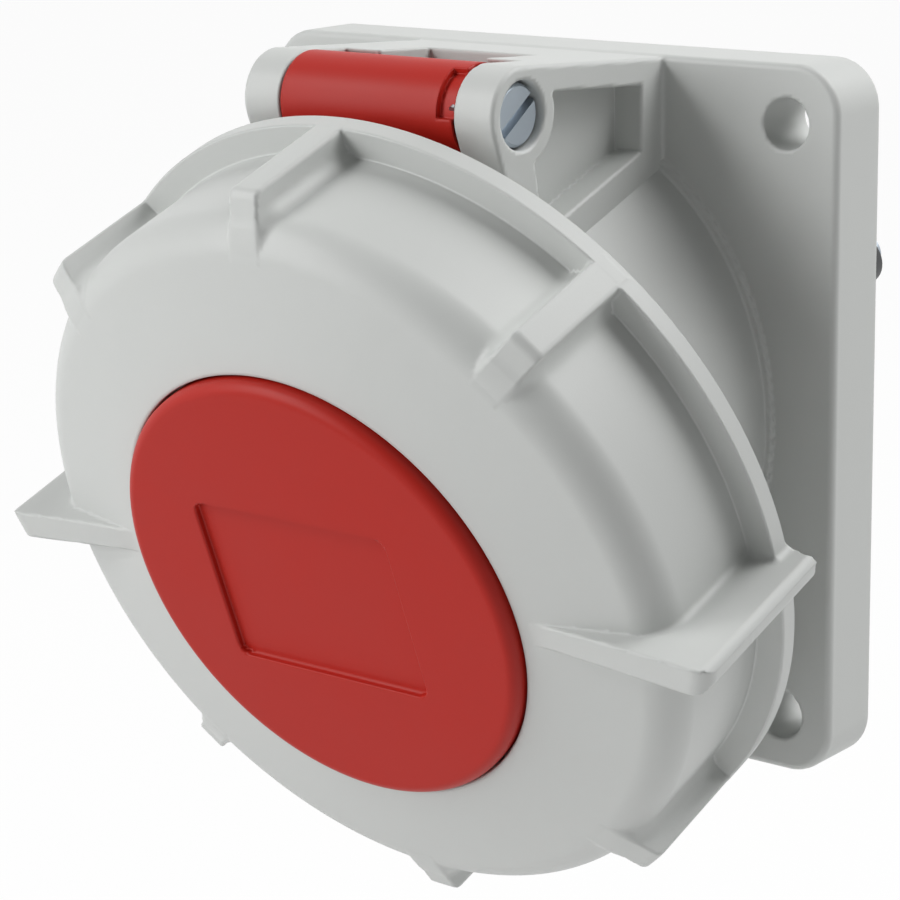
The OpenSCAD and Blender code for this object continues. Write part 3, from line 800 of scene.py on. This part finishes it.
def ring_wings(z: RingSizes) -> Solid:
    """Two grip wings, with a knee before the end and an end that leans."""
    knee_top = z.tip_top + (z.wing_top - z.tip_top) * (z.knee_x - z.tip_x) / (z.wing_r - z.tip_x)
    top = slanted((z.tip_x, z.tip_top), (z.wing_r, z.wing_top), 1)
    shed = slanted((z.knee_x, knee_top), (z.wing_r, z.wing_top - z.knee_drop), 1)
    under = slanted((z.tip_x, z.tip_under), (z.wing_r, z.wing_under), -1)
    lean = math.radians(z.end_lean)
    front = below(2, z.wing_front)
    end = plane((math.cos(lean), -math.sin(lean), 0.0), z.wing_r * math.cos(lean))
    wing = front.meet(top.meet(shed, z.knee_round), z.wing_edge).meet(under, z.wing_edge)
    wing = (wing & below(0, z.wing_r).meet(shed, z.wing_round)
            & end.meet(under, z.wing_round) & end.meet(front, z.wing_corner))
    return folded(wing & above(2, z.rim_rear) & above(0, z.tip_x), 0)


def ring_lugs(z: RingSizes) -> Solid:
    """Two bayonet lugs in the bore."""
    half = math.radians(z.lug_half)
    sector = Solid(
        lambda p: np.abs(np.arctan2(p[:, 1], p[:, 0])) * z.lug_middle - half * z.lug_middle)
    ring = post(z.bore_r + z.lug_root) - post(z.lug_in)
    return folded(between(2, z.lug_rear, z.lug_front) & sector & ring, 0)


def ring_solid(z: RingSizes) -> Solid:
    """Bayonet ring in its own frame: x across, y up the face, z along the axis."""

    def foot(start: float, most: float) -> PointMap:
        """Radii of a fillet that is slim on the face and grows to most past a distance."""

        def at(p: np.ndarray) -> np.ndarray:
            grown = np.clip((np.hypot(p[:, 0], p[:, 1]) - start) / z.fillet_run, 0.0, 1.0)
            return z.face_fillet + (most - z.face_fillet) * grown

        return at

    face = ring_face(z)
    body = post(z.body_r).meet(face, z.shoulder).meet(above(2, z.rim_rear), z.rear_edge)
    rim = rod(z.rim_r, z.rim_rear, z.rim_rear + z.rim_t, z.rim_edge)
    shell = body.joined(ring_ribs(z), foot(z.rib_fillet_at, z.rib_fillet))
    shell = (shell & post(z.rim_r) & above(2, z.rim_rear)).joined(rim, z.rim_edge)
    shell = shell.joined(ring_wings(z), foot(z.wing_fillet_at, z.wing_fillet))

    hollow = post(z.bore_r) & Solid(lambda p: face.at(p) + z.wall)
    lip = post(z.lip_r) & above(2, z.lip_rear)
    shell = shell.cut(hollow - lip, z.bore_edge)
    shell = shell.cut(post(z.face_r) & above(2, z.lip_front), z.lip_edge)
    return shell.cut(post(z.hub_bore), z.hub_edge) | ring_lugs(z)


def disc_solid(z: DiscSizes) -> Solid:
    """Red disc in the cap's frame, with its sunk blank field."""
    disc = post(z.r).meet(below(2, z.front), z.edge).meet(above(2, z.rear), z.rear_edge)
    sunk = rounded_square(z.field_half_x, z.field_half_y, z.field_corner, z.field_centre)
    return disc.cut(sunk & above(2, z.front - z.field_depth), z.field_edge)


def knuckle_solid(z: HousingSizes, places: Places) -> Solid:
    """Outer skin of the lid's knuckle in the part's frame, with the spring's notch."""
    hinge = places.hinge[1:]
    bar = post(z.hinge_r + z.knuckle_over, hinge, 0)
    bar = bar.meet(between(0, -z.knuckle_x, z.knuckle_x), z.knuckle_edge)
    skin = bar - post(z.knuckle_in, hinge, 0)

    def past_notch(p: np.ndarray) -> np.ndarray:
        turn = np.arctan2(p[:, 2] - hinge[1], hinge[0] - p[:, 1])
        past = np.abs(turn - math.radians(z.notch_middle)) - math.radians(z.notch_half)
        return past * z.hinge_r

    mouth = Solid(past_notch) & above(0, z.knuckle_x - z.notch)
    return skin.cut(mouth - post(z.notch_floor, hinge, 0), z.notch_edge)


def flange_solid(z: HousingSizes) -> Solid:
    """Flange in the panel's frame: x across, y up, z out of the panel."""
    slab = rounded_square(z.half, z.half, z.corner).meet(below(2, z.depth), z.edge)
    slab = slab.meet(above(2, 0.0), z.rear_edge)
    inner = z.half - z.skirt
    hollow = rounded_square(inner, inner, z.corner - z.skirt) & below(2, z.depth - z.wall)
    foot = z.depth - z.root
    boss = rod(z.boss_r, z.boss_rear, foot, z.boss_edge, (z.hole_at, z.hole_at))
    outer, inside = inner - z.rib_out, inner - z.rib_in
    backing = (rounded_square(outer, outer, z.rib_out_corner)
               - rounded_square(inside, inside, z.rib_in_corner))
    shell = slab.cut(hollow, z.hollow_edge).joined(folded(folded(boss, 0), 1), z.fillet)
    return shell | (backing & between(2, z.rib_rear, foot))


def collar_solid(z: HousingSizes, places: Places) -> Solid:
    """Collar, land and barrel in the cap's frame, with a thin skin of the flange at the foot."""
    cap = places.cap
    in_flange = above(1, -z.depth).within(cap)
    skin = above(1, -z.depth - z.skin_rise).within(cap) & post(z.collar_r + z.land_w + z.skin_w)
    top = above(1, -z.depth - z.land).within(cap)
    land = post(z.collar_r + z.land_w).meet(top, z.land_edge)
    collar = post(z.collar_r).meet(below(2, z.collar_front), z.collar_edge)
    rib_half = z.key_half + z.key_wall
    rib = (between(0, -rib_half, rib_half) & between(1, -z.key_r - z.key_wall, -z.key_in)
           & below(2, z.collar_front))
    front = skin.joined(land, z.land_fillet).joined(collar | rib, z.collar_fillet)
    front = front & below(1, -z.depth + z.wall).within(cap)
    barrel = post(z.barrel_r) & above(2, z.barrel_rear) & in_flange
    seat = rod(z.ear_r, z.ear_rear, z.ear_front, z.ear_edge, (z.ear_at, 0.0))
    seats = spun(seat, z.ear_angle) | spun(seat, 180.0 - z.ear_angle)
    bores = ((post(z.collar_bore) & above(2, z.shoulder_front)) | post(z.shoulder_bore)
             | (post(z.barrel_bore) & below(2, z.shoulder_rear)))
    keyway = (between(0, -z.key_half, z.key_half) & between(1, -z.key_r, -z.key_in)
              & above(2, z.key_rear))
    return (front | barrel | seats).cut(bores | keyway, z.bore_edge)


def bracket_solid(z: HousingSizes, places: Places) -> Solid:
    """Hinge bracket in the part's frame, with its pockets and the room for the lid's arm."""
    cap, hinge = places.cap, places.hinge[1:]
    up, out = cap.axes[1], cap.axes[2]
    hy, hz = hinge
    front = hinge + z.hinge_r * out[1:]
    foot = z.root - z.depth
    plate = outline([
        front, (hy, hz + z.hinge_r), (foot, z.half - z.top_drop), (foot, 0.0),
        front - z.bracket_drop * up[1:],
    ])
    ears = between(0, -z.ear_x, z.ear_x)
    bracket = (plate | post(z.hinge_r, hinge, 0)).meet(ears, z.bracket_edge)

    def on_ledge(w: float) -> np.ndarray:
        """Point of the ledge under a pocket, at a height along the axis."""
        return (cap.origin + w * out + z.ledge * up)[1:]

    rear = -z.depth - z.rear_wall
    rear_w = (cap.origin[1] + z.ledge * up[1] - rear) / -out[1]
    roof = hz + z.hinge_r - z.bracket_wall
    pocket = outline([
        (hy + z.roof_at, roof), (rear, roof - z.roof_fall), on_ledge(rear_w),
        on_ledge(z.ledge_front), (hy + z.nose_at, hz),
    ]) - post(z.hinge_r + z.eye_wall, hinge, 0)
    pocket = folded(pocket & above(0, z.ear_x - z.pocket), 0)

    _, hinge_v, hinge_w = cap.local(places.hinge)
    chute = (between(1, z.collar_r - z.chute_in, hinge_v - z.chute_out)
             & between(2, hinge_w - z.room + z.chute_rear, z.chute_front)).seen_from(cap)
    swing = (post(z.room, hinge, 0) | chute) & between(0, -z.gap_x, z.gap_x)
    recess = (between(0, -z.recess_x, z.recess_x)
              & between(1, hy - z.recess_front, -z.depth - z.recess_y)
              & above(1, z.collar_r + z.recess_floor).seen_from(cap))
    bracket = bracket.cut(pocket, z.pocket_edge).cut(swing, z.pocket_edge)
    return bracket.cut(recess, z.recess_edge)


def housing_solid(z: HousingSizes, places: Places) -> Solid:
    """Flange and bracket in the part's frame, with a hole that the collar's piece fills."""
    whole = flange_solid(z).seen_from(PANEL).joined(bracket_solid(z, places), z.fillet)
    whole = whole.cut(post(z.hidden_bore).seen_from(places.cap), z.hidden_edge)
    hole = folded(folded(post(z.hole_r, (z.hole_at, z.hole_at)), 0), 1)
    whole = whole.cut(hole.seen_from(PANEL), z.hole_edge)
    head = post(z.head_r, places.hinge[1:], 0) & above(0, z.head_x)
    return whole.cut(head, z.head_edge)


# ---------------------------------------------------------------------------------------------
# Finishes

# size in millimetres and detail of the slow wander of colour and gloss, and how far gloss goes
WANDER_MM, WANDER_DETAIL, GLOSS_WANDER = 14.0, 3.0, 0.10
# numbers of a Mix node's sockets for its factor, its two colours and its result
MIX_FACTOR, MIX_A, MIX_B, MIX_RESULT = 0, 6, 7, 2


@dataclass(frozen=True)
class Finish:
    """How a moulded or metal surface looks.

    Attributes:
        colour: base colour, linear.
        rough: roughness.
        metal: metallic share.
        grain_mm: size of the fine surface grain.
        grain: depth of that grain in millimetres.
        mottle: how far the colour wanders over the piece, as a share.
        level: specular level.
    """

    colour: tuple
    rough: float
    metal: float = 0.0
    grain_mm: float = 0.30
    grain: float = 0.006
    mottle: float = 0.012
    level: float = 0.5


class Finishes(Enum):
    """Finishes by the record's material slot."""

    grey_plastic = Finish((0.585, 0.600, 0.585), 0.46)
    red_plastic = Finish((0.430, 0.014, 0.007), 0.46, grain=0.007, mottle=0.03, level=0.25)
    dark_plastic = Finish((0.045, 0.047, 0.050), 0.50, grain=0.008, mottle=0.05)
    seal_rubber = Finish((0.022, 0.022, 0.023), 0.68, 0.0, 0.20, 0.010, 0.08)
    contact_brass = Finish((0.72, 0.53, 0.24), 0.28, 1.0, 0.12, 0.002, 0.05)
    zinc_steel = Finish((0.40, 0.45, 0.50), 0.38, 0.9, 0.25, 0.003, 0.06)
    spring_steel = Finish((0.42, 0.43, 0.45), 0.30, 1.0, 0.12, 0.002, 0.05)


class Socket:
    """A value in a shader graph, with arithmetic that adds math nodes."""

    def __init__(self, graph: "Graph", out: bpy.types.NodeSocket) -> None:
        self.graph = graph
        self.out = out

    def __add__(self, other: "Socket | float") -> "Socket":
        return self.graph.math("ADD", self, other)

    __radd__ = __add__

    def __sub__(self, other: "Socket | float") -> "Socket":
        return self.graph.math("SUBTRACT", self, other)

    def __mul__(self, other: "Socket | float") -> "Socket":
        return self.graph.math("MULTIPLY", self, other)

    def __or__(self, other: "Socket | float") -> "Socket":
        """The larger of two values."""
        return self.graph.math("MAXIMUM", self, other)


class Graph:
    """Node graph of a material or of the world."""

    def __init__(self, tree: bpy.types.NodeTree) -> None:
        self.tree = tree

    def node(self, kind: str, out: int | str = 0, given: Optional[dict] = None,
             **settings) -> Socket:
        """Adds any node.

        Args:
            kind: the node's type.
            out: which of its outputs is returned.
            given: input names or numbers, each with a value or a socket.
            settings: the node's own properties.

        Returns:
            The output.
        """
        made = self.tree.nodes.new(kind)
        for key, value in settings.items():
            setattr(made, key, value)
        for key, value in (given or {}).items():
            self.feed(made.inputs[key], value)
        return Socket(self, made.outputs[out])

    def feed(self, into: bpy.types.NodeSocket, value: object) -> None:
        """Links a socket to an input, or sets the input to a plain value."""
        if isinstance(value, Socket):
            self.tree.links.new(value.out, into)
        else:
            into.default_value = value

    def math(self, operation: str, a: "Socket | float", b: "Socket | float") -> Socket:
        """Adds a math node with two inputs."""
        return self.node("ShaderNodeMath", given={0: a, 1: b}, operation=operation)

    def noise(self, size_mm: float, detail: float = 2.0) -> Socket:
        """Noise over the piece's own coordinates, with features of a given size."""
        where = self.node("ShaderNodeTexCoord", "Object")
        given = {"Vector": where, "Scale": 1.0 / (size_mm * MM), "Detail": detail}
        return self.node("ShaderNodeTexNoise", "Fac", given)

    def plain_view(self) -> Socket:
        """One for rays from the camera, off a mirror or through glass, else zero."""
        camera, glossy, through = (
            self.node("ShaderNodeLightPath", f"Is {kind} Ray")
            for kind in ("Camera", "Glossy", "Transmission"))
        return camera | glossy | through


def make_material(slot: Finishes) -> bpy.types.Material:
    """Procedural material of a finish: fine grain, and a slow wander of colour and gloss.

    Args:
        slot: the finish's slot, whose name the material gets.

    Returns:
        The material.
    """
    finish: Finish = slot.value
    material = bpy.data.materials.new(slot.name)
    material.use_nodes = True
    g = Graph(material.node_tree)
    s = material.node_tree.nodes["Principled BSDF"].inputs
    slow = g.noise(WANDER_MM, WANDER_DETAIL)
    deep, pale = (
        (*(min(1.0, c * (1.0 + sign * finish.mottle)) for c in finish.colour), 1.0)
        for sign in (-1, 1))
    mixed = {MIX_FACTOR: slow, MIX_A: deep, MIX_B: pale}
    g.feed(s["Base Color"], g.node("ShaderNodeMix", MIX_RESULT, mixed, data_type="RGBA"))
    g.feed(s["Roughness"], finish.rough + (slow - 0.5) * GLOSS_WANDER)
    g.feed(s["Metallic"], finish.metal)
    g.feed(s["Specular IOR Level"], finish.level)
    g.feed(s["Normal"], g.node("ShaderNodeBump", "Normal", {
        "Strength": 1.0,
        "Distance": finish.grain * MM,
        "Height": g.noise(finish.grain_mm),
    }))
    return material


# ---------------------------------------------------------------------------------------------
# Studio


@dataclass(frozen=True)
class View:
    """The camera's stand, in front of the socket, to its right and a little above it.

    Attributes:
        right: the camera's first axis in the part's frame.
        up: its second axis.
        back: its third axis, away from what it looks at.
        place: its place in millimetres.
        lens: focal length in millimetres.
        sensor: width of the sensor in millimetres.
        nearest: nearest distance that it shows, in metres.
    """

    right: tuple = (0.779936, 0.625588, -0.018181)
    up: tuple = (-0.140702, 0.203572, 0.968896)
    back: tuple = (0.60984, -0.75312, 0.24680)
    place: tuple = (231.35, -315.32, 89.10)
    lens: float = 116.47
    sensor: float = 36.0
    nearest: float = 0.01


@dataclass(frozen=True)
class Lamp:
    """A round soft lamp.

    Attributes:
        name: its name.
        place: its place in metres.
        size: its diameter in metres.
        watts: its power.
    """

    name: str
    place: tuple
    size: float
    watts: float


@dataclass(frozen=True)
class Studio:
    """Camera, lamps, floor and world.

    Attributes:
        view: the camera's stand.
        lamps: the lamps, all turned to aim.
        aim: a point in the part, in metres.
        ambient: strength of the world's light.
        floor_height: height of the floor in metres.
        floor_half: half of the floor's side in metres.
        floor_grey: brightness of the floor where lamps light it.
        floor_rough: roughness of the floor.
        floor_white: share of plain white in what the camera sees of the floor.
    """

    view: View = View()
    lamps: tuple = (
        Lamp("key", (-0.40, -0.75, 0.22), 0.50, 3.1),
        Lamp("upper", (-0.50, -0.60, 0.60), 0.30, 2.9),
        Lamp("back", (0.25, 0.30, 0.55), 0.50, 3.0),
        Lamp("side", (0.45, 0.30, 0.40), 0.50, 1.3),
    )
    aim: tuple = (0.0, -0.02, -0.005)
    ambient: float = 0.08
    floor_height: float = -0.12
    floor_half: float = 3.0
    floor_grey: float = 0.9
    floor_rough: float = 0.9
    floor_white: float = 0.96

    def set_up(self) -> None:
        """Adds the camera, the world's light, the lamps and the floor."""
        self.add_camera()
        self.add_world()
        for lamp in self.lamps:
            self.add_lamp(lamp)
        self.add_floor()
        bpy.context.scene.view_settings.view_transform = "Standard"

    def add_camera(self) -> None:
        """Camera at its stand."""
        data = bpy.data.cameras.new("camera")
        data.sensor_width = self.view.sensor
        data.lens = self.view.lens
        data.clip_start = self.view.nearest
        cam = bpy.data.objects.new("camera", data)
        axes = [Vector(axis) for axis in (self.view.right, self.view.up, self.view.back)]
        columns = (*axes, Vector(self.view.place) * MM)
        rows = [tuple(column[k] for column in columns) for k in range(3)]
        cam.matrix_world = Matrix((*rows, (0, 0, 0, 1)))
        bpy.context.scene.collection.objects.link(cam)
        bpy.context.scene.camera = cam

    def add_lamp(self, lamp: Lamp) -> None:
        """Lamp at its place, turned to the aim."""
        data = bpy.data.lights.new(lamp.name, "AREA")
        data.shape = "DISK"
        data.size = lamp.size
        data.energy = lamp.watts
        obj = bpy.data.objects.new(lamp.name, data)
        obj.location = Vector(lamp.place)
        obj.rotation_euler = (Vector(self.aim) - obj.location).to_track_quat("-Z", "Y").to_euler()
        bpy.context.scene.collection.objects.link(obj)

    def add_world(self) -> None:
        """Even pale surround; the camera and mirrors see plain white."""
        world = bpy.data.worlds.new("surround")
        world.use_nodes = True
        g = Graph(world.node_tree)
        back = world.node_tree.nodes["Background"].inputs
        g.feed(back["Color"], (1.0, 1.0, 1.0, 1.0))
        g.feed(back["Strength"], g.plain_view() * (1.0 - self.ambient) + self.ambient)
        bpy.context.scene.world = world

    def add_floor(self) -> None:
        """Pale floor below the part, which keeps the part's shadow."""
        mesh = bpy.data.meshes.new("floor")
        h, z = self.floor_half, self.floor_height
        mesh.from_pydata([(-h, -h, z), (h, -h, z), (h, h, z), (-h, h, z)], [], [(0, 1, 2, 3)])
        floor = bpy.data.objects.new("floor", mesh)
        bpy.context.scene.collection.objects.link(floor)
        material = bpy.data.materials.new("floor")
        material.use_nodes = True
        g = Graph(material.node_tree)
        shader = material.node_tree.nodes["Principled BSDF"]
        g.feed(shader.inputs["Base Color"], (*[self.floor_grey] * 3, 1.0))
        g.feed(shader.inputs["Roughness"], self.floor_rough)
        white = {"Color": (1.0, 1.0, 1.0, 1.0), "Strength": 1.0}
        glow = g.node("ShaderNodeEmission", given=white)
        lit = Socket(g, shader.outputs[0])
        given = {0: g.plain_view() * self.floor_white, 1: lit, 2: glow}
        both = g.node("ShaderNodeMixShader", given=given)
        g.feed(material.node_tree.nodes["Material Output"].inputs["Surface"], both)
        mesh.materials.append(material)


# ---------------------------------------------------------------------------------------------
# Scene


@dataclass(frozen=True)
class Moulding:
    """A moulded piece to be meshed.

    Attributes:
        name: the start of its objects' names.
        solid: its field.
        grid: the cells to mesh it on.
        body: the CAD body that it rides on.
        slot: the record's slot that it takes its finish from.
        nodes: CAD node that each share of it stands for; an empty name adds to the CAD.
        frame: the frame that the field is given in, or None for the part's own.
        split: axis and value in that frame where it is parted in two, or None.
    """

    name: str
    solid: Solid
    grid: Grid
    body: str
    slot: Finishes
    nodes: Sequence[str]
    frame: Optional[Frame] = None
    split: Optional[tuple[int, float]] = None

    def shares(self, points: np.ndarray) -> np.ndarray:
        """Number of the share that each point belongs to."""
        if self.split is None:
            return np.zeros(len(points), int)
        axis, value = self.split
        return (points[:, axis] > value).astype(int)

    def build(self, material: bpy.types.Material) -> None:
        """Meshes the field and lets each share of it stand for its CAD node."""
        points, quads, normals = surface(self.solid, self.grid)
        share = self.shares(points)[quads[:, 0]]
        if self.frame is not None:
            points, normals = self.frame.world(points), normals @ self.frame.axes
        for k, node in enumerate(self.nodes):
            obj = mesh_object(f"{self.name}_{k}", points, quads[share == k], normals, material)
            if node:
                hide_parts(node)
            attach(obj, self.body)
            log.info("%s: %d quads", obj.name, len(obj.data.polygons))


def mouldings(places: Places) -> list[Moulding]:
    """The pieces that are moulded here, each with the grid that suits its edges."""
    grey, red = Finishes.grey_plastic, Finishes.red_plastic
    ring, housing = RingSizes(), HousingSizes()
    return [
        Moulding(
            "bayonet_ring", ring_solid(ring),
            Grid.polar(radii=(26.4, 58.2), heights=(22.2, 49.6), step=0.46, turns=700),
            "ring", grey, ("lock_ring", "lock_ring"), places.cap.turned(ring.turn), (0, 0.0)),
        Moulding(
            "lid_face", disc_solid(DiscSizes()),
            Grid.box(low=(-31.4, -31.4, 45.4), high=(31.4, 31.4, 51.0), step=0.40),
            "cover", red, ("lid_disc",), places.cap),
        Moulding(
            "collar", collar_solid(housing, places),
            Grid.polar(radii=(29.4, 42.4), heights=(-21.0, 37.6), step=0.52, turns=480),
            "base", grey, ("housing", "collar"), places.cap, (2, housing.collar_foot)),
        Moulding(
            "shell", housing_solid(housing, places),
            Grid.rows((-46.9, -39.5, 0.45, -22.0, 0.7, 22.0, 0.45, 39.5, 0.7, 47.0, 0.45),
                      (-46.6, -8.0, 0.45, -1.1, 0.7, 0.6, 0.4),
                      (-47.0, -39.5, 0.45, 25.0, 0.7, 49.0, 0.45)),
            "base", grey, ("housing", "housing"), split=(1, housing.split)),
        Moulding(
            "knuckle", knuckle_solid(housing, places),
            Grid.box(low=(-14.2, -46.0, 34.8), high=(14.2, -32.4, 48.5), step=0.3),
            "cover", red, ("",)),
    ]


def dress_nodes(nodes: dict, record: dict, materials: dict) -> None:
    """Gives every CAD node the finish of its slot.

    Args:
        nodes: the CAD objects by node.
        record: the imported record, whose subparts name the slots.
        materials: the materials by slot.
    """
    slots = {s["node"]: s["material_slot"] for s in record["subparts"]}
    for name, obj in nodes.items():
        obj.data.materials.clear()
        obj.data.materials.append(materials[slots[name]])


def main() -> None:
    """Builds the scene."""
    logging.basicConfig(level=logging.INFO)
    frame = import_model()
    materials = {f.name: make_material(f) for f in Finishes}
    dress_nodes(frame["nodes"], frame["record"], materials)
    for moulding in mouldings(Places.from_joints(frame["joints"])):
        moulding.build(materials[moulding.slot.name])
    Studio().set_up()


if __name__ == "__main__":
    main()
